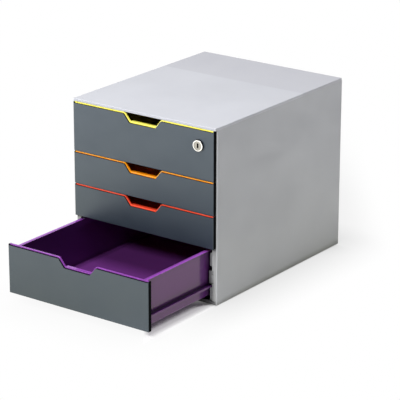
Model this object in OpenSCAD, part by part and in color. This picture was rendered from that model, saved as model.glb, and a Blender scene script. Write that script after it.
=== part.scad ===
// Desktop drawer box: a plastic casing with four drawers on side runners.
// The drawers share a grid of equal units, and the top drawer has a cam lock.
// X runs to the right, Y to the back and Z up. The origin lies on the surface that the box
// stands on, midway between the front of the open bottom drawer and the back of the casing.

/* [Casing] */
// Width of the casing over its side panels
case_w = 280; // [260:1:340]
// Depth of the side panels, front edge to back edge
case_d = 349.5; // [330:0.5:400]
// Thickness of the outer skins
skin_t = 2.5; // [2:0.1:3]
// Radius of the upright front edges of the side panels
side_edge_r = 2; // [1:0.1:2.4]
// Width of the front flange of a side panel
flange_w = 9.2; // [8:0.1:10.4]
// Thickness of the top cover at its edge
top_t = 4; // [3.4:0.1:6]
// How far the top cover reaches forward of the side panels
visor = 4.5; // [2:0.1:6]
// Radius along the upper edges of the top cover
top_edge_r = 0.8; // [0.4:0.1:1.2]
// Depth of the hollows under the top cover
top_hollow = 1.5; // [0.8:0.1:2]
// Height from the underside of the base to the lowest drawer bay
base_h = 11; // [9:0.5:16]
// Thickness of the base plate
base_t = 3; // [2.4:0.1:4]
// Height of the front and back rims of the base plate
base_rim_h = 6; // [4.5:0.1:7]
// How far the back panel lies inside the back edges
back_recess = 0.8; // [0.4:0.1:2]
// Depth of the sunk field in the back panel
back_field = 0.8; // [0.4:0.1:1.2]
// Width of the plain border round the sunk field
back_border = 24; // [18:1:40]

/* [Feet and screws] */
// Height of a foot below the base
foot_h = 2; // [1.5:0.5:6]
// Diameter of a foot
foot_d = 16; // [12:1:24]
// How deep a foot is let into the base
foot_sink = 1.2; // [0.8:0.1:1.6]
// Distance of a foot's centre from the sides and the ends of the casing
foot_inset = 26; // [22:1:50]
// Thread diameter of the casing screws
screw_d = 3; // [2.5:0.5:3.5]
// Head diameter of the casing screws
screw_head_d = 5.6; // [5:0.1:6]
// Length of the casing screws under the head
screw_l = 9; // [8:0.5:11]

/* [Drawer grid] */
// Height of one unit of the grid
unit_h = 27.5; // [26:0.1:34]
// Units of drawer 1, at the top
units_1 = 3; // [2:1:5]
// Units of drawer 2
units_2 = 2; // [2:1:5]
// Units of drawer 3
units_3 = 2; // [2:1:5]
// Units of drawer 4, at the bottom
units_4 = 3; // [2:1:5]
// Travel of a drawer from closed to its stop
travel = 250; // [200:5:270]
// How far the bottom drawer stands open
open_4 = 164; // [0:1:200]

/* [Runners] */
// From the outside of the casing to the inner face of the runner panels
runner_reach = 14.8; // [13:0.1:16]
// Wall thickness of the runner panels
runner_t = 1.5; // [1.2:0.1:1.8]
// Depth of the runner slots
slot_d = 6; // [5.5:0.1:7]
// Height of the runner slots
slot_h = 6.6; // [6.2:0.1:7.4]
// Height of the slot floor above the bottom of its unit
slot_z = 17.8; // [16:0.1:18.4]
// Setback of the runner panels behind the front edge
runner_setback = 3; // [2.8:0.1:5]
// Depth of a stop catch, front to back
catch_d = 8; // [6:0.5:12]
// How far a stop catch reaches out over the front flange
catch_over = 3.2; // [2.5:0.1:4.5]
// How far a stop catch hangs into its slot
catch_drop = 1.5; // [1.2:0.1:1.8]

/* [Trays] */
// Wall thickness of the trays
tray_wall = 2.2; // [1.8:0.1:3]
// Floor thickness of the trays
tray_floor = 2.4; // [2:0.1:3]
// Gap between a tray's side and the runner panel
tray_gap = 2; // [1.5:0.1:3]
// Height of a tray's underside above the bottom of its bay
tray_lift = 1.2; // [1:0.1:2]
// Gap between the trays and the back panel
rear_gap = 3; // [1:0.5:10]
// Radius inside, between the floor and the walls
tray_fillet = 3; // [2:0.5:8]
// Radius inside, in the upright corners
tray_corner_r = 1.5; // [1:0.5:3]
// Radius outside, along the bottom edges
tray_edge_r = 3; // [1:0.5:4]
// Width of the lips along the sides
lip_w = 4.2; // [3:0.1:5]
// Thickness of the lips
lip_t = 1.9; // [1.5:0.1:2]
// Height of a runner rib
rib_h = 3.4; // [3:0.1:3.6]
// Wall thickness of a runner rib
rib_t = 1.6; // [1.2:0.1:2]
// Length of the stop nub on a runner rib
nub_l = 10; // [6:1:16]

/* [Drawer fronts] */
// How far the fronts stand forward of the side panels
front_proud = 6.5; // [6:0.1:8]
// How far the fronts lie inside the sides of the casing
front_inset = 1.6; // [1:0.1:3]
// Gap between the bottom of a bay and its front
front_lift = 0.5; // [0.3:0.1:1]
// Gap between the top of a bay and the coloured edge
strip_gap = 0.6; // [0.4:0.1:1]
// Height of the coloured edge that shows above a front
strip_h = 2.2; // [1.5:0.1:3]
// Thickness of a front's face
face_t = 2.3; // [2:0.1:2.6]
// Thickness of the rims round a front
rim_t = 1.6; // [1.2:0.1:2]
// Thickness of a tray's front wall
plate_t = 2.8; // [2.4:0.1:3]
// Radius of a front's upright edges
front_edge_r = 1.5; // [0.8:0.1:2]
// Radius of a front's lower edge
front_low_r = 1; // [0.5:0.1:1.2]

/* [Finger notch] */
// Width of the notch at the top of a front
notch_top_w = 73; // [60:1:120]
// Width of the notch at its bottom
notch_low_w = 51; // [40:1:58]
// Depth of the notch below the top of a front
notch_d = 13.5; // [10:0.5:16]
// Radius of the notch's corners
notch_r = 3; // [1.5:0.5:4]
// Width of the coloured edge that shows beside the notch
strip_side = 1.6; // [1:0.1:2.5]
// Depth of the finger ledge, from the front of its wall to its back
ledge_d = 8; // [6:0.5:14]
// Thickness of the finger ledge
ledge_t = 1.8; // [1.5:0.1:2.2]
// Height of the lip under the back of the finger ledge
ledge_lip = 4.5; // [3:0.5:6]

/* [Lock] */
// Distance of the lock's axis from the side of the front
lock_inset = 28.7; // [28:0.1:50]
// Distance of the lock's axis below the top of its bay
lock_drop = 27.4; // [24:0.1:30]
// Diameter of the lock's head
lock_head_d = 19; // [18:0.5:22]
// How far the lock's head stands out of the front
lock_head_t = 3.2; // [2:0.1:4]
// Diameter of the lock's barrel
lock_barrel_d = 15.8; // [15:0.1:16.4]
// Length of the barrel behind the face of the front
lock_barrel_l = 18; // [16:0.5:22]
// Diameter of the turning plug
lock_plug_d = 12.4; // [11:0.1:13]
// Thickness of the lock's nut
lock_nut_t = 4; // [3:0.5:5]
// Width of the lock's nut across its flats
lock_nut_w = 19; // [18:0.5:20]
// Thickness of the lock's cam
cam_t = 2; // [1.5:0.1:2.5]
// Width of the lock's cam
cam_w = 13; // [12:0.5:15]
// Depth of the strike under the top cover
strike_h = 2.8; // [2.4:0.1:3]

/* [Hidden] */

// Colours
casing_grey = [0.74, 0.75, 0.78];
runner_grey = [0.62, 0.63, 0.65];
front_grey = [0.36, 0.39, 0.42];
rubber_black = [0.12, 0.12, 0.13];
steel = [0.72, 0.72, 0.70];
chrome = [0.86, 0.86, 0.84];
tray_colours = [[0.96, 0.85, 0.15], [0.96, 0.50, 0.08], [0.90, 0.16, 0.10], [0.42, 0.12, 0.56]];

// Clearances
fit = 0.2;             // between pieces that are clipped or laid together
slide_gap = 0.3;       // over and under a runner rib or a lip
runner_side_gap = 0.6; // between a runner rib and the back of its slot
front_gap = 0.4;       // between a closed front and the casing
stop_gap = 0.3;        // between a nub and its catch at full travel
turn_gap = 0.1;        // round the lock's plug
tip_gap = 0.8;         // over the tip of the upright cam

// Heights of the casing and its bays
units = [units_1, units_2, units_3, units_4];
drawer_count = len(units);
function units_below(i) = i >= drawer_count - 1 ? 0 : units[i + 1] + units_below(i + 1);
unit_count = units[0] + units_below(0);
bay_z = foot_h + base_h;
bay_top = bay_z + unit_count * unit_h;
case_h = bay_top + top_t;
function cell_z(i) = bay_z + units_below(i) * unit_h;
function cell_h(i) = units[i] * unit_h;
function unit_slot_z(k) = bay_z + k * unit_h + slot_z;

// Places along X and Y
half_w = case_w / 2;
front_y = (front_proud + open_4 - case_d) / 2;
back_y = front_y + case_d;
runner_x = half_w - runner_reach;
slot_x = runner_x + slot_d;
runner_out_x = slot_x + runner_t;
skin_x = half_w - skin_t;
back_in_y = back_y - back_recess - skin_t;
runner_y = front_y + runner_setback;
runner_back_y = back_in_y - skin_t - 2 * fit;

// Trays, measured from the bottom of a bay
tray_x = runner_x - tray_gap;
tray_back_y = back_in_y - rear_gap;
rib_x = slot_x - runner_side_gap;
rib_z = slot_z + slide_gap;
lip_drop = unit_h - slot_z - slot_h + slide_gap;
function side_top(i) = cell_h(i) - lip_drop;
function strip_top(i) = cell_h(i) - strip_gap;
function front_top(i) = strip_top(i) - strip_h;

// Fronts
front_x = half_w - front_inset;
front_face_y = front_y - front_proud;
front_back_y = front_y - front_gap;
plate_y = front_face_y + face_t + fit / 2;
plate_back_y = plate_y + plate_t;
plate_x = front_x - rim_t - fit;

// Stop catches, one above the runner slot of each drawer
flange_x = half_w - flange_w;
catch_x = flange_x + catch_over;
catch_y = front_y + catch_d;
catch_h = unit_h - slot_h - 2 * fit;
catch_step_z = 14;
catch_step_d = 0.8;
catch_edge_r = 1.2;
function catch_z(i) = cell_z(i) + slot_z + slot_h + fit;
nub_y = catch_y + stop_gap + travel;
nub_h = slot_h - rib_h - 2 * slide_gap;

// Lock
lock_x = front_x - lock_inset;
lock_z = bay_top - lock_drop;
barrel_end_y = front_face_y + lock_barrel_l;
cam_y = barrel_end_y + fit;
cam_l = lock_drop - tip_gap;
tail_w = 7;
cam_screw_d = 4;
plug_rim_d = lock_plug_d + 2;
plug_rim_t = 1;
plug_sink = 0.5;
strike_w = 22;
strike_t = 2.4;
strike_y = cam_y - 2 * fit - strike_t;
key_slot_w = 3.2;
key_slot_h = 7.7;
key_slot_d = 14;

// Screws into bosses of the runner panels: forward at the corners of the back panel, and up
// through the base
screw_head_h = 1.8;
screw_play = 0.1;
boss_w = 6.4;
boss_l = screw_l;
screw_x = (runner_x + runner_out_x) / 2;
back_screw_z = [for (k = [0, unit_count - 1]) unit_slot_z(k) - boss_w];
base_screw_inset = 45;
base_screw_y = [front_y + base_screw_inset, back_y - base_screw_inset];

// Ribs and tongues of the casing
side_rib_t = 2;
side_rib_steps = 4;
side_rib_inset = 30;
side_rib_y = [for (k = [0 : side_rib_steps])
    front_y + side_rib_inset + k * (case_d - 2 * side_rib_inset) / side_rib_steps];
tongue_w = 20;
tongue_t = 1.8;
tongue_h = 7;
tongue_steps = 2;
tongue_inset = 66;
tongue_y = [for (k = [0 : tongue_steps])
    front_y + tongue_inset + k * (case_d - 2 * tongue_inset) / tongue_steps];
top_clear = 0.3;
top_rib_t = 2;
top_cells = [4, 5];
top_margin = 14;
base_rib_t = 1.8;
base_rib_h = 4;
base_rib_pitch = 44;
back_field_r = 8;

eps = 0.01;
arc_fn = 48;
arc_steps = 6;

// ---------- helpers ----------

// A 2D shape in X and Z, extruded along Y
module along_y(y0, y1) {
    translate([0, y1, 0]) rotate([90, 0, 0]) linear_extrude(y1 - y0) children();
}

// A 2D shape in Y and Z, extruded along X
module along_x(x0, x1) {
    translate([x0, 0, 0]) rotate([90, 0, 90]) linear_extrude(x1 - x0) children();
}

// A 2D shape in X and Y, extruded along Z
module along_z(z0, z1) {
    translate([0, 0, z0]) linear_extrude(z1 - z0) children();
}

// A block between two corners
module block(a, b) {
    translate(a) cube(b - a);
}

// A rectangle between two corners, with all its corners rounded
module soft_rect(a, b, r) {
    size = b - a;
    translate([a.x + r, a.y]) square([size.x - 2 * r, size.y]);
    translate([a.x, a.y + r]) square([size.x, size.y - 2 * r]);
    for (x = [a.x + r, b.x - r], y = [a.y + r, b.y - r])
        translate([x, y]) circle(r, $fn = arc_fn);
}

// The points of the arc that rounds corner p between its neighbours a and b
function corner_arc(a, p, b, r) =
    r == 0 ? [p] :
    let (
        u = (a - p) / norm(a - p),
        v = (b - p) / norm(b - p),
        half = acos(u * v) / 2,
        middle = p + (u + v) / norm(u + v) * r / sin(half),
        from = p + u * r / tan(half) - middle,
        to = p + v * r / tan(half) - middle,
        start = atan2(from.y, from.x),
        turn = (atan2(to.y, to.x) - start + 540) % 360 - 180
    )
    [for (k = [0 : arc_steps])
        middle + r * [cos(start + turn * k / arc_steps), sin(start + turn * k / arc_steps)]];

// A polygon whose corners are rounded: each entry is [point, radius]
module soft_polygon(corners) {
    n = len(corners);
    polygon([for (i = [0 : n - 1])
        each corner_arc(corners[(i + n - 1) % n][0], corners[i][0], corners[(i + 1) % n][0],
            corners[i][1])]);
}

// The same piece on the left side
module on_left() {
    mirror([1, 0, 0]) children();
}

// ---------- casing ----------

// Front flange, outer skin and back flange of the right side, seen from above
module side_plan() {
    back_flange_x = runner_x + fit;
    difference() {
        intersection() {
            soft_rect([0, front_y], [half_w, back_y + 2 * side_edge_r], side_edge_r);
            translate([flange_x, front_y]) square([flange_w, case_d]);
        }
        translate([flange_x - eps, front_y + skin_t])
            square([flange_w - skin_t + eps, back_in_y - front_y - 2 * skin_t]);
        translate([flange_x - eps, back_in_y]) square([flange_w - skin_t + eps, case_d]);
    }
    // The back flange reaches in over the end of the runner panel
    translate([back_flange_x, back_in_y - skin_t]) square([skin_x - back_flange_x + eps, skin_t]);
}

module side_panel() {
    flange_back_y = front_y + skin_t + eps;
    color(casing_grey)
    difference() {
        union() {
            along_z(foot_h, bay_top) side_plan();
            // Upright ribs that carry the runner panel
            for (y = side_rib_y)
                block([runner_out_x, y - side_rib_t / 2, foot_h + base_t],
                    [skin_x + eps, y + side_rib_t / 2, bay_top - tongue_h - 1]);
        }
        // The rims of the base plate run through under the flanges
        block([0, front_y - eps, 0], [skin_x, flange_back_y, foot_h + base_rim_h]);
        block([0, back_in_y - skin_t - eps, 0], [skin_x, back_y + eps, foot_h + base_rim_h]);
        // Mouths of the runner slots
        for (k = [0 : unit_count - 1])
            block([0, front_y - eps, unit_slot_z(k)], [slot_x, flange_back_y, unit_slot_z(k) + slot_h]);
        // Windows for the stop catches
        for (i = [0 : drawer_count - 1])
            block([0, front_y - eps, catch_z(i) - fit],
                [catch_x + fit, flange_back_y, catch_z(i) + catch_h + fit]);
        at_back_screws(1) screw_pilot();
    }
}

// Crenellated wall with a slot at every unit
module runner_profile() {
    difference() {
        translate([runner_x, foot_h + base_t])
            square([runner_out_x - runner_x, bay_top - foot_h - base_t - top_clear]);
        for (k = [0 : unit_count - 1])
            translate([runner_x - eps, unit_slot_z(k)]) square([slot_d + eps, slot_h]);
    }
}

// The hollows behind its steps, which keep the wall at one thickness
module runner_hollows() {
    x = runner_x + runner_t;
    low = foot_h + base_t + runner_t;
    for (k = [0 : unit_count - 2])
        translate([x, unit_slot_z(k) + slot_h + runner_t])
            square([slot_d + eps, unit_h - slot_h - 2 * runner_t]);
    translate([x, low]) square([slot_d + eps, unit_slot_z(0) - runner_t - low]);
}

module runner_panel() {
    color(runner_grey)
    difference() {
        union() {
            difference() {
                along_y(runner_y, runner_back_y) runner_profile();
                along_y(runner_y + runner_t, runner_back_y - runner_t) runner_hollows();
            }
            // Bosses for the base screws and the back screws
            for (y = base_screw_y)
                block([runner_x, y - boss_w / 2, foot_h + base_t],
                    [runner_out_x, y + boss_w / 2, unit_slot_z(0)]);
            for (z = back_screw_z)
                block([runner_x, runner_back_y - boss_l, z - boss_w / 2],
                    [runner_out_x, runner_back_y, z + boss_w / 2]);
        }
        // The stop catches sit in the front ends of the steps
        for (i = [0 : drawer_count - 1])
            block([0, front_y, catch_z(i) - fit],
                [half_w, catch_y + fit, catch_z(i) + catch_h + fit]);
        at_base_screws(1) screw_pilot();
        at_back_screws(1) screw_pilot();
    }
}

// A tongue hangs from each catch, and holds a drawer by its nubs
module stop_catches() {
    x0 = runner_x + fit;
    color(casing_grey)
    for (i = [0 : drawer_count - 1]) translate([0, 0, catch_z(i)]) difference() {
        union() {
            block([x0, front_y, 0], [catch_x, catch_y, catch_h]);
            along_x(x0, flange_x - fit) soft_polygon([
                [[front_y, catch_step_z], 0], [[front_y, -catch_drop - fit], catch_drop],
                [[catch_y, -catch_drop - fit], 0.4], [[catch_y, catch_step_z], 0]
            ]);
        }
        // Sunk upper part of the face, where it lies on the flange
        block([flange_x, front_y - eps, catch_step_z],
            [catch_x + eps, front_y + catch_step_d, catch_h + eps]);
        // Rounded lower edge of the face
        along_x(flange_x - fit, catch_x + eps) difference() {
            translate([front_y - eps, -eps]) square(catch_edge_r);
            translate([front_y + catch_edge_r, catch_edge_r]) circle(catch_edge_r, $fn = arc_fn);
        }
    }
}

// Top cover, with hollows and ribs underneath
module top_cover() {
    cell = [(case_w - 2 * top_margin) / top_cells.x, (case_d - 2 * top_margin) / top_cells.y];
    color(casing_grey)
    difference() {
        union() {
            intersection() {
                along_z(bay_top, case_h)
                    soft_rect([-half_w, front_y - visor], [half_w, back_y], side_edge_r);
                along_y(front_y - visor, back_y)
                    soft_rect([-half_w, bay_top - 2 * top_edge_r], [half_w, case_h], top_edge_r);
                along_x(-half_w, half_w)
                    soft_rect([front_y - visor, bay_top - 2 * top_edge_r], [back_y, case_h], top_edge_r);
            }
            // Strike for the lock's cam
            block([lock_x - strike_w / 2, strike_y, bay_top - strike_h],
                [lock_x + strike_w / 2, strike_y + strike_t, bay_top + eps]);
            // Tongues that reach down inside the outer skins
            for (side = [0, 1], y = tongue_y) mirror([side, 0, 0])
                block([skin_x - fit / 2 - tongue_t, y - tongue_w / 2, bay_top - tongue_h],
                    [skin_x - fit / 2, y + tongue_w / 2, bay_top + eps]);
        }
        for (i = [0 : top_cells.x - 1], j = [0 : top_cells.y - 1])
            translate([
                top_margin - half_w + i * cell.x + top_rib_t / 2,
                front_y + top_margin + j * cell.y + top_rib_t / 2,
                bay_top - eps
            ])
            cube([cell.x - top_rib_t, cell.y - top_rib_t, top_hollow + eps]);
    }
}

// Base plate with its front and back rims
module base_plate() {
    x = skin_x - fit / 2;
    y1 = back_in_y - fit;
    rim_top = foot_h + base_rim_h;
    color(casing_grey)
    difference() {
        union() {
            block([-x, front_y + 1, foot_h], [x, y1, foot_h + base_t]);
            along_x(-x, x) soft_polygon([
                [[front_y, foot_h], 0.8], [[front_y, rim_top], 1],
                [[front_y + skin_t, rim_top], 0.5], [[front_y + skin_t, foot_h], 0]
            ]);
            block([-x, y1 - skin_t, foot_h], [x, y1, rim_top - fit]);
            // Stiffening ribs under the bottom drawer
            for (k = [-2 : 2])
                translate([k * base_rib_pitch, 0, foot_h + base_t])
                    block([-base_rib_t / 2, front_y + skin_t - eps, -eps],
                        [base_rib_t / 2, y1 - skin_t + eps, base_rib_h]);
        }
        // Sockets for the feet
        for (x = [-1, 1] * (half_w - foot_inset), y = [front_y + foot_inset, back_y - foot_inset])
            translate([x, y, foot_h - eps])
                cylinder(h = foot_sink + eps, d = foot_d + 2 * fit, $fn = arc_fn);
        for (side = [-1, 1]) at_base_screws(side) screw_seat(base_t);
    }
}

// Back panel with a sunk field
module back_panel() {
    x = skin_x - fit / 2;
    z0 = foot_h;
    color(casing_grey)
    difference() {
        block([-x, back_in_y, z0], [x, back_in_y + skin_t, bay_top]);
        along_y(back_in_y + skin_t - back_field, back_y + eps)
            soft_rect([-x + back_border, z0 + back_border],
                [x - back_border, bay_top - back_border], back_field_r);
        for (side = [-1, 1]) at_back_screws(side) screw_seat(skin_t);
    }
}

// ---------- feet and screws ----------

module foot(side, y) {
    edge_r = 1;
    color(rubber_black)
    translate([side * (half_w - foot_inset), y, 0])
    rotate_extrude($fn = arc_fn)
    intersection() {
        square([foot_d / 2, foot_h + foot_sink]);
        soft_rect([-foot_d, 0], [foot_d / 2, 2 * foot_h + foot_sink], edge_r);
    }
}

// Places on one side for screws that point up through the base
module at_base_screws(side) {
    for (y = base_screw_y) translate([side * screw_x, y, foot_h]) children();
}

// Places on one side for screws that point forward through the back panel
module at_back_screws(side) {
    for (z = back_screw_z)
        translate([side * screw_x, back_in_y + skin_t, z]) rotate([90, 0, 0]) children();
}

// Each of these starts at Z = 0, the outer face that the screw's head is sunk in
module screw_pilot() {
    cylinder(h = screw_l + 1, d = screw_d + 2 * screw_play, $fn = arc_fn);
}

module screw_seat(t) {
    translate([0, 0, -eps]) cylinder(h = t + 2 * eps, d = screw_d + 2 * screw_play, $fn = arc_fn);
    translate([0, 0, -eps])
        cylinder(h = screw_head_h + eps, d = screw_head_d + 2 * screw_play, $fn = arc_fn);
}

module screw() {
    recess = [2.8, 0.7, 1];
    difference() {
        union() {
            cylinder(h = screw_l, d = screw_d, $fn = arc_fn);
            cylinder(h = screw_head_h, d = screw_head_d, $fn = arc_fn);
        }
        for (a = [0, 90]) rotate(a) translate([-recess.x / 2, -recess.y / 2, -eps]) cube(recess);
    }
}

module casing_screws() {
    color(steel)
    for (side = [-1, 1]) {
        at_base_screws(side) screw();
        at_back_screws(side) screw();
    }
}

// ---------- drawers ----------

// Half width of the notch in a front, at height z above the front's top edge
notch_slope = (notch_top_w - notch_low_w) / 2 / notch_d;
notch_shift = strip_side * sqrt(1 + notch_slope * notch_slope);
function notch_half(z, inward) = notch_top_w / 2 + notch_slope * z - inward;

// Outline of the coloured front wall, drawn round its notch
module plate_outline(i) {
    z0 = front_lift + rim_t + fit;
    top = strip_top(i);
    low = front_top(i) - notch_d + strip_h;
    a = notch_half(strip_h, notch_shift);
    b = notch_half(strip_h - notch_d, notch_shift);
    soft_polygon([
        [[-plate_x, z0], 0], [[-plate_x, top], 0.6],
        [[-a, top], notch_r + strip_h], [[-b, low], notch_r],
        [[b, low], notch_r], [[a, top], notch_r + strip_h],
        [[plate_x, top], 0.6], [[plate_x, z0], 0]
    ]);
}

// Outline of a grey front, with a notch and raised ends that flank the coloured edge
module front_outline(i) {
    top = front_top(i);
    tip = strip_top(i) - fit;
    low = top - notch_d;
    a = notch_half(0, 0);
    b = notch_half(-notch_d, 0);
    inner = front_x - rim_t;
    soft_polygon([
        [[-front_x, front_lift], 1.5], [[-front_x, tip], 0.7], [[-inner, tip], 0], [[-inner, top], 0],
        [[-a, top], notch_r], [[-b, low], notch_r],
        [[b, low], notch_r], [[a, top], notch_r],
        [[inner, top], 0], [[inner, tip], 0], [[front_x, tip], 0.7], [[front_x, front_lift], 1.5]
    ]);
}

module front_cap(i) {
    difference() {
        intersection() {
            along_y(front_face_y, front_back_y) front_outline(i);
            along_z(0, cell_h(i))
                soft_rect([-front_x, front_face_y], [front_x, front_y + front_proud], front_edge_r);
            along_x(-front_x, front_x)
                soft_rect([front_face_y, front_lift],
                    [front_y + front_proud, cell_h(i) + unit_h], front_low_r);
        }
        block([-front_x + rim_t, front_face_y + face_t, front_lift + rim_t],
            [front_x - rim_t, front_y, cell_h(i)]);
    }
}

// The tray's shell in three outlines: from the front, from the side and from above
module tray_shell(i) {
    top = side_top(i);
    y0 = plate_y;
    difference() {
        intersection() {
            along_y(y0, tray_back_y) soft_rect([-tray_x, tray_lift], [tray_x, top + unit_h], tray_edge_r);
            along_x(-tray_x, tray_x)
                soft_rect([y0 - unit_h, tray_lift], [tray_back_y, top + unit_h], tray_edge_r);
            along_z(0, top) soft_rect([-tray_x, y0 - unit_h], [tray_x, tray_back_y], tray_edge_r);
        }
        // Room for the lower rim of the front
        block([-half_w, y0 - eps, 0], [half_w, front_y, front_lift + rim_t + fit]);
    }
}

module tray_hollow(i) {
    x = tray_x - tray_wall;
    y1 = tray_back_y - tray_wall;
    z0 = tray_lift + tray_floor;
    top = cell_h(i) + unit_h;
    intersection() {
        along_y(plate_back_y, y1) soft_rect([-x, z0], [x, top], tray_fillet);
        along_x(-x, x) soft_rect([plate_back_y, z0], [y1, top], tray_fillet);
        along_z(0, top) soft_rect([-x, plate_back_y], [x, y1], tray_corner_r);
    }
}

// Runner rib on the right side: a channel that is open below, with a stop nub on top
module runner_rib() {
    along_y(plate_back_y - eps, tray_back_y - tray_edge_r) difference() {
        translate([tray_x - eps, rib_z]) square([rib_x - tray_x + eps, rib_h]);
        translate([tray_x, rib_z - eps]) square([rib_x - tray_x - rib_t, rib_h - rib_t + eps]);
    }
    along_x(runner_x + slide_gap, rib_x) polygon([
        [nub_y, rib_z + rib_h - eps], [nub_y, rib_z + rib_h + nub_h],
        [nub_y + nub_l / 3, rib_z + rib_h + nub_h], [nub_y + nub_l, rib_z + rib_h - eps]
    ]);
}

module side_lip(i) {
    top = side_top(i);
    along_y(plate_back_y - eps, tray_back_y - tray_edge_r)
        soft_polygon([
            [[tray_x - tray_wall / 2, top], 0], [[tray_x + lip_w, top], 0.6],
            [[tray_x + lip_w, top - lip_t], 0.6], [[tray_x - tray_wall / 2, top - lip_t], 0]
        ]);
}

// Ledge behind the bottom of the notch, with a lip to pull on
module finger_ledge(i) {
    top = front_top(i) - notch_d + strip_h;
    half = notch_half(strip_h - notch_d, notch_shift);
    y1 = plate_y + ledge_d;
    along_x(-half, half) soft_polygon([
        [[plate_back_y - eps, top], 0], [[y1, top], 1], [[y1, top - ledge_lip], 0.8],
        [[y1 - ledge_t, top - ledge_lip], 0.8], [[y1 - ledge_t, top - ledge_t], 0.5],
        [[plate_back_y - eps, top - ledge_t], 0]
    ]);
}

module tray(i) {
    difference() {
        union() {
            along_y(plate_y, plate_back_y) plate_outline(i);
            intersection() {
                difference() {
                    tray_shell(i);
                    tray_hollow(i);
                }
                // In front, the shell stays inside the outline of the front wall
                union() {
                    block([-half_w, plate_back_y, 0], [half_w, back_y, cell_h(i)]);
                    along_y(plate_y, plate_back_y) plate_outline(i);
                }
            }
            runner_rib();
            on_left() runner_rib();
            side_lip(i);
            on_left() side_lip(i);
            finger_ledge(i);
        }
        // Room for the lower rim of the front
        block([-half_w, plate_back_y - 1, 0], [half_w, front_y, front_lift + rim_t + fit]);
    }
}

// Place of a drawer: its bay, and how far it stands open
function opened(i) = i == drawer_count - 1 ? open_4 : 0;

module in_bay(i) {
    translate([0, -opened(i), cell_z(i)]) children();
}

module lock_hole() {
    translate([lock_x, front_face_y - eps, lock_z]) rotate([-90, 0, 0])
        cylinder(h = face_t + fit + plate_t + 4 * eps, d = lock_barrel_d + 2 * fit, $fn = arc_fn);
}

module drawer_tray(i) {
    color(tray_colours[i])
    difference() {
        in_bay(i) tray(i);
        if (i == 0) lock_hole();
    }
}

module drawer_front(i) {
    color(front_grey)
    difference() {
        in_bay(i) front_cap(i);
        if (i == 0) lock_hole();
    }
}

// ---------- lock ----------

// Places a piece that was built along +Z, with Z = 0 at the face of the front
module on_lock_axis() {
    translate([lock_x, front_face_y, lock_z]) rotate([-90, 0, 0]) children();
}

module lock_body() {
    color(chrome)
    on_lock_axis() rotate_extrude($fn = arc_fn) difference() {
        union() {
            square([lock_barrel_d / 2, lock_barrel_l]);
            translate([0, -lock_head_t]) square([lock_head_d / 2 - 1, lock_head_t]);
            translate([0, -lock_head_t + 1]) square([lock_head_d / 2, lock_head_t - 1]);
            translate([lock_head_d / 2 - 1, -lock_head_t + 1]) circle(1, $fn = arc_fn);
        }
        translate([-eps, -lock_head_t - eps])
            square([lock_plug_d / 2 + turn_gap + eps, lock_barrel_l + lock_head_t + 2 * eps]);
        // Seat for the rim of the plug
        translate([-eps, -lock_head_t - eps])
            square([plug_rim_d / 2 + turn_gap + eps, plug_sink + plug_rim_t + turn_gap + eps]);
    }
}

module lock_nut() {
    z0 = plate_back_y - front_face_y;
    color(steel)
    on_lock_axis() translate([0, 0, z0]) difference() {
        rotate(30) cylinder(h = lock_nut_t, d = lock_nut_w / cos(30), $fn = 6);
        translate([0, 0, -eps]) cylinder(h = lock_nut_t + 2 * eps, d = lock_barrel_d + fit, $fn = arc_fn);
    }
}

module lock_plug() {
    rear = lock_barrel_l + fit;
    color(chrome)
    on_lock_axis() difference() {
        union() {
            translate([0, 0, plug_sink - lock_head_t]) {
                cylinder(h = rear + lock_head_t - plug_sink, d = lock_plug_d, $fn = arc_fn);
                cylinder(h = plug_rim_t, d = plug_rim_d, $fn = arc_fn);
            }
            translate([-tail_w / 2, -tail_w / 2, rear - eps]) cube([tail_w, tail_w, cam_t + eps]);
        }
        translate([-key_slot_w / 2, -key_slot_h / 2, -lock_head_t])
            cube([key_slot_w, key_slot_h, key_slot_d]);
        translate([0, 0, rear - 4]) cylinder(h = cam_t + 5, d = cam_screw_d + 2 * screw_play, $fn = arc_fn);
    }
}

// The cam points to the left, and turns up behind the strike
module lock_cam() {
    hole = tail_w + fit;
    color(steel)
    on_lock_axis() translate([0, 0, lock_barrel_l + fit]) difference() {
        union() {
            cylinder(h = cam_t, d = cam_w, $fn = arc_fn);
            translate([-cam_l + 2, -cam_w / 2, 0]) cube([cam_l - 2, cam_w, cam_t]);
            translate([-cam_l, -cam_w / 2 + 2, 0]) cube([cam_l, cam_w - 4, cam_t]);
            for (y = [-1, 1] * (cam_w / 2 - 2))
                translate([-cam_l + 2, y, 0]) cylinder(h = cam_t, r = 2, $fn = arc_fn);
        }
        translate([-hole / 2, -hole / 2, -eps]) cube([hole, hole, cam_t + 2 * eps]);
    }
}

module lock_cam_screw() {
    color(steel)
    on_lock_axis() translate([0, 0, lock_barrel_l + fit + cam_t]) difference() {
        union() {
            translate([0, 0, -5]) cylinder(h = 5 + eps, d = cam_screw_d, $fn = arc_fn);
            cylinder(h = 2, d = tail_w + 3, $fn = arc_fn);
        }
        for (a = [0, 90]) rotate(a) translate([-2, -0.4, 1]) cube([4, 0.8, 1 + eps]);
    }
}

// ---------- all pieces ----------

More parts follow.
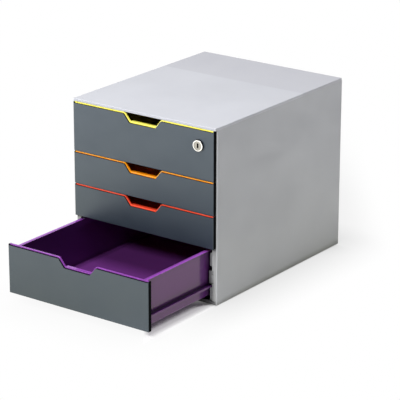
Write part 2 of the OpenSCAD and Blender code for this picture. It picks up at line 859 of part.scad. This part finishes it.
top_cover();
base_plate();
back_panel();
on_left() side_panel();  // side_panel_left
side_panel();  // side_panel_right
on_left() runner_panel();  // runner_panel_left
runner_panel();  // runner_panel_right
on_left() stop_catches();  // stop_catches_left
stop_catches();  // stop_catches_right
foot(-1, front_y + foot_inset);  // foot_front_left
foot(1, front_y + foot_inset);  // foot_front_right
foot(-1, back_y - foot_inset);  // foot_rear_left
foot(1, back_y - foot_inset);  // foot_rear_right
casing_screws();
drawer_tray(0);  // drawer_1_tray
drawer_front(0);  // drawer_1_front
drawer_tray(1);  // drawer_2_tray
drawer_front(1);  // drawer_2_front
drawer_tray(2);  // drawer_3_tray
drawer_front(2);  // drawer_3_front
drawer_tray(3);  // drawer_4_tray
drawer_front(3);  // drawer_4_front
lock_body();
lock_nut();
lock_plug();
lock_cam();
lock_cam_screw();
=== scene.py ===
"""Dresses the desktop drawer box: camera, studio light, floor and moulded-plastic materials."""
import bpy
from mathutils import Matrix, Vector

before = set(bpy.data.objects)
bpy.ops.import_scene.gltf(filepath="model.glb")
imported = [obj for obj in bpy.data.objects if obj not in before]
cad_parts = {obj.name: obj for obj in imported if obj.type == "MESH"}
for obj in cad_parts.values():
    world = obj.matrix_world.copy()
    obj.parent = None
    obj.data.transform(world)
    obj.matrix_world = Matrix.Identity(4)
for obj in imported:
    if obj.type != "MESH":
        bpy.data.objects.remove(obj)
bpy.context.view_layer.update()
scene = bpy.context.scene

# The camera was solved from the object's corners and edges in the photo
CAMERA_PLACE = (1.91086, -2.54259, 1.22686)
CAMERA_TURN = (1.236749, -0.004582, 0.638743)
SENSOR_MM = 36
LENS_MM = 187.91
VIEW_END = 50

# Each lamp: its place, the point it looks at, its width and height, and its watts
LAMPS = {
    "key": ((-0.06, -2.4, 1.85), (0, 0, 0.1), (0.2, 0.45), 62),
    "overhead": ((-0.08, -0.9, 2.8), (0, 0, 0.1), (0.3, 1.2), 60),
    "low fill": ((1.3, -2.4, 0.06), (0, 0, 0.15), (0.8, 0.08), 10),
}
WORLD_FILL = {"Color": (0.97, 0.98, 1.0), "Strength": 0.02}
WORLD_SEEN = {"Color": (1, 1, 1), "Strength": 1.0}

FLOOR_HALF = 6.0
FLOOR_WHITE = (0.68, 0.68, 0.68)
FLOOR_GLOW = 0.17
# How far the painted shadow behind the object's right corner darkens the floor
PAINTED_SHADOW_DEPTH = 0.11
MIRRORED_NEAR = (1, 1, 0.82)

# Directions along the floor as the camera sees it, and a place on the floor beside the open drawer
RIGHTWARD = (0.8, 0.6, 0)
AWAY = (-0.6, 0.8, 0)
BESIDE_DRAWER = (0.17, -0.17, 0)

# What moulded plastics share
DRIFT = 0.03
# Edges pale towards this tint: partly wear, partly a painted highlight on rounded edges
WORN_AND_HIGHLIT_TINT = 1.55
PLASTIC_IOR = 1.5

# From the first to the second Y, the top cover turns to its darker rear grey, a painted shade where
# a reflection across the top ends
REAR_OF_TOP = (0.143, 0.147)

CASING = (0.478, 0.488, 0.516)
# On the casing the strong edge paling is mostly a painted highlight along its edges and corners
CASING_FINISH_AND_EDGE_HIGHLIGHT = {"rough": 0.46, "grain": 0.55, "edge_wear_and_highlight": 0.85}
TRAY_FINISH = {"rough": 0.24, "grain": 0.12, "smear": 0.02}


# ---------- node trees ----------

class Graph:
    """The node tree of a material or of the world, with short helpers for what the trees share."""

    def __init__(self, owner, output="ShaderNodeOutputMaterial"):
        owner.use_nodes = True
        self.owner = owner
        self.tree = owner.node_tree
        self.tree.nodes.clear()
        self.surface = self.add(output).inputs["Surface"]

    def feed(self, socket, value):
        """Links a socket to another one, or sets it to a constant."""
        if isinstance(value, bpy.types.NodeSocket):
            self.tree.links.new(value, socket)
        elif socket.type == "RGBA":
            socket.default_value = (*value, 1)
        else:
            socket.default_value = value

    def add(self, kind, inputs=None, **settings):
        node = self.tree.nodes.new(kind)
        for key, value in settings.items():
            setattr(node, key, value)
        for key, value in (inputs or {}).items():
            self.feed(node.inputs[key], value)
        return node

    def principled(self, inputs):
        shader = self.add("ShaderNodeBsdfPrincipled", inputs)
        self.feed(self.surface, shader.outputs["BSDF"])

    # Numbers

    def math(self, operation, a, b):
        return self.add("ShaderNodeMath", {0: a, 1: b}, operation=operation).outputs["Value"]

    def product(self, first, *others):
        for other in others:
            first = self.math("MULTIPLY", first, other)
        return first

    def ramp(self, value, start, end, low=0, high=1, shape="LINEAR"):
        """low up to where the value is start, high from where it is end."""
        limits = {"From Min": start, "From Max": end, "To Min": low, "To Max": high}
        node = self.add("ShaderNodeMapRange", {"Value": value, **limits}, interpolation_type=shape)
        return node.outputs["Result"]

    def soft_ramp(self, value, start, end, low=0, high=1):
        return self.ramp(value, start, end, low, high, "SMOOTHSTEP")

    def spread(self, noise, low=0, high=1):
        """low to high over the middle of a noise's values, where most of them lie."""
        return self.ramp(noise, 0.35, 0.65, low, high)

    def noise(self, scale, detail, roughness=0.5, stretch=None):
        """scale is in repeats a metre."""
        place = self.position()
        if stretch:
            stretched = self.add("ShaderNodeMapping", {"Vector": place, "Scale": stretch})
            place = stretched.outputs["Vector"]
        inputs = {"Vector": place, "Scale": scale, "Detail": detail, "Roughness": roughness}
        return self.add("ShaderNodeTexNoise", inputs).outputs["Fac"]

    # Places and directions

    def position(self):
        return self.add("ShaderNodeTexCoord").outputs["Object"]

    def flat_normal(self):
        return self.add("ShaderNodeNewGeometry").outputs["True Normal"]

    def soft_normal(self, radius):
        return self.add("ShaderNodeBevel", {"Radius": radius}, samples=4).outputs["Normal"]

    def part_of(self, vector, axis):
        return self.add("ShaderNodeSeparateXYZ", {"Vector": vector}).outputs[axis]

    def dot(self, a, b):
        inputs = {0: a, 1: b}
        return self.add("ShaderNodeVectorMath", inputs, operation="DOT_PRODUCT").outputs["Value"]

    def along(self, direction):
        """How far a point lies along a direction, from the origin."""
        return self.dot(self.position(), direction)

    def distance(self, point):
        ends = {0: self.position(), 1: point}
        return self.add("ShaderNodeVectorMath", ends, operation="DISTANCE").outputs["Value"]

    # Masks

    def straight(self):
        """1 for rays from the camera and for reflections, 0 for all others."""
        rays = self.add("ShaderNodeLightPath").outputs
        return self.math("MAXIMUM", rays["Is Camera Ray"], rays["Is Glossy Ray"])

    def openness(self, reach):
        """1 in the open, lower where something stands within reach."""
        return self.add("ShaderNodeAmbientOcclusion", {"Distance": reach}, samples=16).outputs["AO"]

    def edge_mask(self, radius, gain):
        """Up to 1 along convex and concave edges, 0 on flat faces."""
        turned = self.math("SUBTRACT", 1.0, self.dot(self.soft_normal(radius), self.flat_normal()))
        return self.math("MINIMUM", self.math("MULTIPLY", turned, gain), 1.0)

    def facing(self):
        """1 on faces that look forward or back, 0 on the rims and sides between them."""
        along_y = self.math("ABSOLUTE", self.part_of(self.flat_normal(), "Y"), 0)
        return self.ramp(along_y, 0.75, 0.92)

    def forward(self):
        """1 on faces that look forward."""
        return self.ramp(self.part_of(self.flat_normal(), "Y"), -0.95, -0.75, 1, 0)

    def thin_rim_painted_glow(self, reach, upper):
        """Painted glow on thin rims, for light passing through them and falling on them: 0.9 if
        they look forward, upper if they look up.
        """
        kind = "ShaderNodeAmbientOcclusion"
        thick = self.add(kind, {"Distance": reach}, samples=8, inside=True).outputs["AO"]
        thin = self.ramp(thick, 0.6, 0.95, 1, 0)
        up = self.ramp(self.part_of(self.flat_normal(), "Z"), 0.1, 0.8, 0, upper)
        ahead = self.ramp(self.part_of(self.flat_normal(), "Y"), -0.8, -0.1, 0.9, 0)
        return self.product(thin, self.math("MAXIMUM", up, ahead))

    # Colours and shaders

    def mix(self, factor, a, b):
        node = self.add("ShaderNodeMix", data_type="RGBA")
        colour_a, colour_b, colour_out = node.inputs[6], node.inputs[7], node.outputs[2]
        self.feed(node.inputs["Factor"], factor)
        self.feed(colour_a, a)
        self.feed(colour_b, b)
        return colour_out

    def bump(self, height, distance, strength, normal):
        """distance is how far, in metres, a height of 1 stands out."""
        inputs = {"Height": height, "Distance": distance, "Strength": strength, "Normal": normal}
        return self.add("ShaderNodeBump", inputs).outputs["Normal"]

    def diffuse(self, colour):
        return self.add("ShaderNodeBsdfDiffuse", {"Color": colour}).outputs["BSDF"]

    def glow(self, strength, colour=(1, 1, 1)):
        node = self.add("ShaderNodeEmission", {"Color": colour, "Strength": strength})
        return node.outputs["Emission"]

    def sum(self, a, b):
        return self.add("ShaderNodeAddShader", {0: a, 1: b}).outputs["Shader"]

    def blend(self, factor, a, b):
        return self.add("ShaderNodeMixShader", {"Fac": factor, 1: a, 2: b}).outputs["Shader"]


# ---------- camera and light ----------

def make_camera():
    data = bpy.data.cameras.new("camera")
    data.sensor_width = SENSOR_MM
    data.lens = LENS_MM
    data.clip_end = VIEW_END
    camera = bpy.data.objects.new("camera", data)
    camera.location = CAMERA_PLACE
    camera.rotation_mode = "YXZ"
    camera.rotation_euler = CAMERA_TURN
    scene.collection.objects.link(camera)
    scene.camera = camera


def make_lights():
    for name, (place, aim, size, watts) in LAMPS.items():
        data = bpy.data.lights.new(name, "AREA")
        data.shape = "RECTANGLE"
        data.size, data.size_y = size
        data.energy = watts
        lamp = bpy.data.objects.new(name, data)
        lamp.location = place
        lamp.rotation_euler = (Vector(aim) - Vector(place)).to_track_quat("-Z", "Y").to_euler()
        scene.collection.objects.link(lamp)


def make_world():
    """White for the camera and for reflections, and a faint fill for all other rays."""
    world = bpy.data.worlds.new("studio")
    scene.world = world
    g = Graph(world, "ShaderNodeOutputWorld")
    fill, seen = (g.add("ShaderNodeBackground", inputs).outputs["Background"]
                  for inputs in (WORLD_FILL, WORLD_SEEN))
    g.feed(g.surface, g.blend(g.straight(), fill, seen))


# ---------- floor ----------

def shaded_floor(g):
    """White that takes the lamps' shadows, doubled, and lifted by a glow; near other surfaces both
    carry a painted contact shade.
    """
    contact = g.openness(0.03)
    # Painted contact shade: near other surfaces the floor's white darkens and its glow drops
    lit_with_painted_contact_shade = g.diffuse(g.ramp(contact, 0, 1, low=0.2, high=0.7))
    glow_with_painted_contact_shade = g.glow(g.ramp(contact, 0.31, 0.41, low=0.03, high=0.44))
    return g.sum(g.sum(lit_with_painted_contact_shade, lit_with_painted_contact_shade), glow_with_painted_contact_shade)


def white_floor(g, across, glossy):
    """Full white, but for a painted shade round the object's foot and a painted shadow behind its
    right corner.
    """
    behind = g.along(AWAY)
    # Painted shadow: a soft grey streak on the floor behind the object's right corner
    painted_shadow_band = g.product(
        g.soft_ramp(across, 0.05, 0.2), g.soft_ramp(across, 0.275, 0.362, 1, 0),
        g.soft_ramp(behind, 0.06, 0.16), g.soft_ramp(behind, 0.33, 0.85, 1, 0))
    # Painted shade round the object's foot, darker where other surfaces stand close
    nearness = g.math("SUBTRACT", 1.0, g.openness(0.1))
    painted_foot_shade = g.product(nearness, g.soft_ramp(across, -0.02, 0.1, 0.08, 0.42))
    dimmed = g.math("SUBTRACT", g.math("SUBTRACT", 1.0, painted_foot_shade), g.product(painted_shadow_band, PAINTED_SHADOW_DEPTH))

    # Mirrored in the plastic, the floor is brighter further off, and warmer close to the object
    away = g.distance((0, 0, 0))
    brighter = g.product(glossy, g.ramp(away, 0.2, 0.9, low=0.55, high=2.05))
    warmer = g.product(glossy, g.ramp(away, 0.2, 0.9, low=1, high=0))
    return g.glow(g.math("ADD", dimmed, brighter), g.mix(warmer, (1, 1, 1), MIRRORED_NEAR))


def white_zone(g, across, camera):
    """0 on the floor under the right side of the open drawer, 1 on the rest of the floor."""
    aside = g.ramp(g.along((1, 0, 0)), 0.122, 0.138)
    beyond = g.ramp(g.distance(BESIDE_DRAWER), 0.09, 0.22)
    # In the picture, the zone ends at the right corner of the open front
    before = g.product(g.ramp(across, -0.054, -0.044, low=1, high=0), camera)
    return g.math("MAXIMUM", g.math("MAXIMUM", aside, beyond), before)


def floor_material():
    """A pale sweep, overexposed to white in the photo but for the shadow beside the open drawer.

    Rays from the camera and reflections meet those zones, and all other rays a plain pale floor.
    """
    g = Graph(bpy.data.materials.new("floor"))
    rays = g.add("ShaderNodeLightPath").outputs
    camera, glossy = rays["Is Camera Ray"], rays["Is Glossy Ray"]
    across = g.along(RIGHTWARD)
    zone = white_zone(g, across, camera)
    seen = g.blend(zone, shaded_floor(g), white_floor(g, across, glossy))
    plain = g.sum(g.diffuse(FLOOR_WHITE), g.glow(FLOOR_GLOW))
    g.feed(g.surface, g.blend(g.straight(), plain, seen))
    return g.owner


def make_floor():
    corners = [(x * FLOOR_HALF, y * FLOOR_HALF, 0) for x, y in ((-1, -1), (1, -1), (1, 1), (-1, 1))]
    mesh = bpy.data.meshes.new("floor")
    mesh.from_pydata(corners, [], [(0, 1, 2, 3)])
    mesh.materials.append(floor_material())
    floor = bpy.data.objects.new("floor", mesh)
    scene.collection.objects.link(floor)


# ---------- materials ----------

def tinted(colour, factor):
    return tuple(min(1.0, c * factor) for c in colour)


def moulded(name, colour, rough, grain=0.5, edge_wear_and_highlight=0.25, smear=0.05, gloss=0.5, sheen=(1, 1, 1),
            rear=None, rims=None, ahead=None, thin=None, upper=0.6, nook=None, nook_reach=0.012):
    """Moulded plastic: spark-eroded grain, slow colour drift, handling marks, and paler edges that
    are partly wear and partly a painted highlight.

    The other colours are for places, and all are painted light and shade: rear is a painted shade
    on the back of the top cover, where a reflection across it ends; rims a painted shade on all but
    the faces that look forward or back; ahead a painted shade on faces that look forward; thin a
    painted glow on thin rims, for light through and on them; and nook a painted shade on what lies
    within nook_reach of another surface.
    """
    g = Graph(bpy.data.materials.new(name))
    paint = g.mix(g.spread(g.noise(7, 3)), tinted(colour, 1 - DRIFT), tinted(colour, 1 + DRIFT))
    edges = g.edge_mask(radius=0.0009, gain=4)
    # Paler edges: partly wear, partly a painted highlight where rounded edges would catch the light
    worn_and_highlit = g.product(edges, g.spread(g.noise(60, 4), 0.5, 1), edge_wear_and_highlight)
    paint = g.mix(worn_and_highlit, paint, tinted(colour, WORN_AND_HIGHLIT_TINT))
    # Painted shade: the back of the top cover turns darker, where a reflection across the top ends
    if rear:
        paint = g.mix(g.ramp(g.part_of(g.position(), "Y"), *REAR_OF_TOP), paint, rear)
    # Painted shade: rims and sides take a darker colour and lose their gloss, for the shade they
    # fall in
    if rims:
        facing = g.facing()
        paint = g.mix(facing, rims, paint)
        gloss = g.product(facing, gloss)
    # Painted shade: faces that look forward take the darker ahead colour
    if ahead:
        paint = g.mix(g.forward(), paint, ahead)
    # Painted glow: thin rims that look forward or up take the brighter thin colour
    if thin:
        paint = g.mix(g.thin_rim_painted_glow(reach=0.0024, upper=upper), paint, thin)
    # Painted shade: what lies close to another surface takes the darker nook colour
    if nook:
        paint = g.mix(g.ramp(g.openness(nook_reach), 0.3, 1, 1, 0), paint, nook)
    smears = g.noise(18, 4, 0.6, stretch=(1, 0.6, 1.4))
    flowed = g.bump(g.noise(26, 2), distance=0.0006, strength=0.08, normal=g.soft_normal(0.0005))
    g.principled({
        "Base Color": paint,
        "Roughness": g.spread(smears, rough - smear, rough + smear),
        "Normal": g.bump(g.noise(1100, 3, 0.65), distance=0.00008, strength=grain, normal=flowed),
        "IOR": PLASTIC_IOR,
        "Specular Tint": sheen,
        "Specular IOR Level": gloss,
    })
    return g.owner


def metal(name, colour, rough, sides=None, stretch=None):
    """Plated metal with fine wiping marks and a soft edge. sides is a darker colour painted on its
    rims, a painted shade.
    """
    g = Graph(bpy.data.materials.new(name))
    plated = g.mix(g.spread(g.noise(140, 3)), tinted(colour, 0.93), colour)
    # Painted shade: the rims take the darker sides colour
    if sides:
        plated = g.mix(g.facing(), sides, plated)
    marks = g.noise(500, 4, 0.6, stretch)
    g.principled({
        "Base Color": plated,
        "Roughness": g.spread(marks, rough - 0.04, rough + 0.08),
        "Normal": g.bump(marks, distance=0.00003, strength=0.3, normal=g.soft_normal(0.0003)),
        "Metallic": 1.0,
    })
    return g.owner


def rubber(name, colour):
    """Matt rubber with a faint bloom."""
    g = Graph(bpy.data.materials.new(name))
    fine = g.noise(1500, 2)
    g.principled({
        "Base Color": g.mix(g.spread(g.noise(90, 4)), colour, tinted(colour, 1.6)),
        "Roughness": g.spread(g.noise(300, 3), 0.75, 0.9),
        "Normal": g.bump(fine, distance=0.00005, strength=0.5, normal=g.soft_normal(0.0005)),
    })
    return g.owner


def dress():
    """Gives each piece the material of the first entry that its name starts with."""
    steel = metal("steel_zinc", (0.62, 0.62, 0.60), 0.34, stretch=(1, 0.15, 1))
    materials = {
        # The trays' thin colours are a painted glow on their thin rims
        "drawer_1_tray": moulded("tray_yellow", (0.98, 0.84, 0.08), **TRAY_FINISH,
                                 thin=(1, 0.95, 0.20)),
        "drawer_2_tray": moulded("tray_orange", (1, 0.27, 0.004), **TRAY_FINISH,
                                 thin=(1, 0.43, 0.006), upper=0.2),
        "drawer_3_tray": moulded("tray_red", (0.90, 0.060, 0.023), **TRAY_FINISH,
                                 thin=(1, 0.12, 0.06), upper=0.2),
        # The purple tray's nook colour is painted shade in its corners and creases
        "drawer_4_tray": moulded("tray_purple", (0.110, 0.025, 0.155), rough=0.13, grain=0.06,
                                 smear=0.015, gloss=0.31, sheen=(1, 0.76, 1),
                                 thin=(0.43, 0.095, 0.64), upper=0.7, nook=(0.02, 0.004, 0.03)),
        # The fronts' rims colour is a painted shade on their sides and lower edges
        "drawer": moulded("front_grey", (0.018, 0.025, 0.035), rough=0.42, edge_wear_and_highlight=0.3,
                          rims=(0.008, 0.009, 0.010), gloss=0.64, sheen=(0.80, 0.90, 0.96)),
        "foot": rubber("rubber_black", (0.025, 0.025, 0.026)),
        # The runner grey is darker than the casing grey, a painted shade for the recess the runners
        # stand in
        "runner_panel": moulded("runner_grey", (0.36, 0.38, 0.38), rough=0.5, grain=0.3),
        # The top cover's grey is a lighter, bluer copy of the casing grey, painted light from
        # above; its rear and ahead colours are painted shade
        "top_cover": moulded("casing_top", (0.525, 0.535, 0.580), **CASING_FINISH_AND_EDGE_HIGHLIGHT,
                             rear=(0.485, 0.490, 0.535), ahead=(0.43, 0.44, 0.48)),
        # The base plate's nook colour is painted shade under the open drawer and along its edges
        "base_plate": moulded("casing_base", CASING, **CASING_FINISH_AND_EDGE_HIGHLIGHT,
                              nook=(0.01, 0.01, 0.01), nook_reach=0.04),
        # The locks' sides colours are painted shade on the rims of the head and the key slot
        "lock_body": metal("lock_chrome", (0.55, 0.54, 0.515), 0.26, sides=(0.03, 0.03, 0.032)),
        "lock_plug": metal("lock_core", (0.23, 0.22, 0.195), 0.34, sides=(0.012, 0.012, 0.012)),
        "lock": steel,
        "casing_screws": steel,
        # The casing grey's ahead and nook colours are painted shade: on its forward faces, and
        # close to other surfaces
        "": moulded("casing_grey", CASING, **CASING_FINISH_AND_EDGE_HIGHLIGHT,
                    ahead=(0.33, 0.34, 0.335), nook=(0.06, 0.06, 0.06)),
    }
    for name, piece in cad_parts.items():
        material = next(found for start, found in materials.items() if name.startswith(start))
        for slot in piece.material_slots:
            slot.material = material


# ---------- everything ----------

scene.view_settings.view_transform = "Standard"
make_camera()
make_world()
make_lights()
make_floor()
dress()
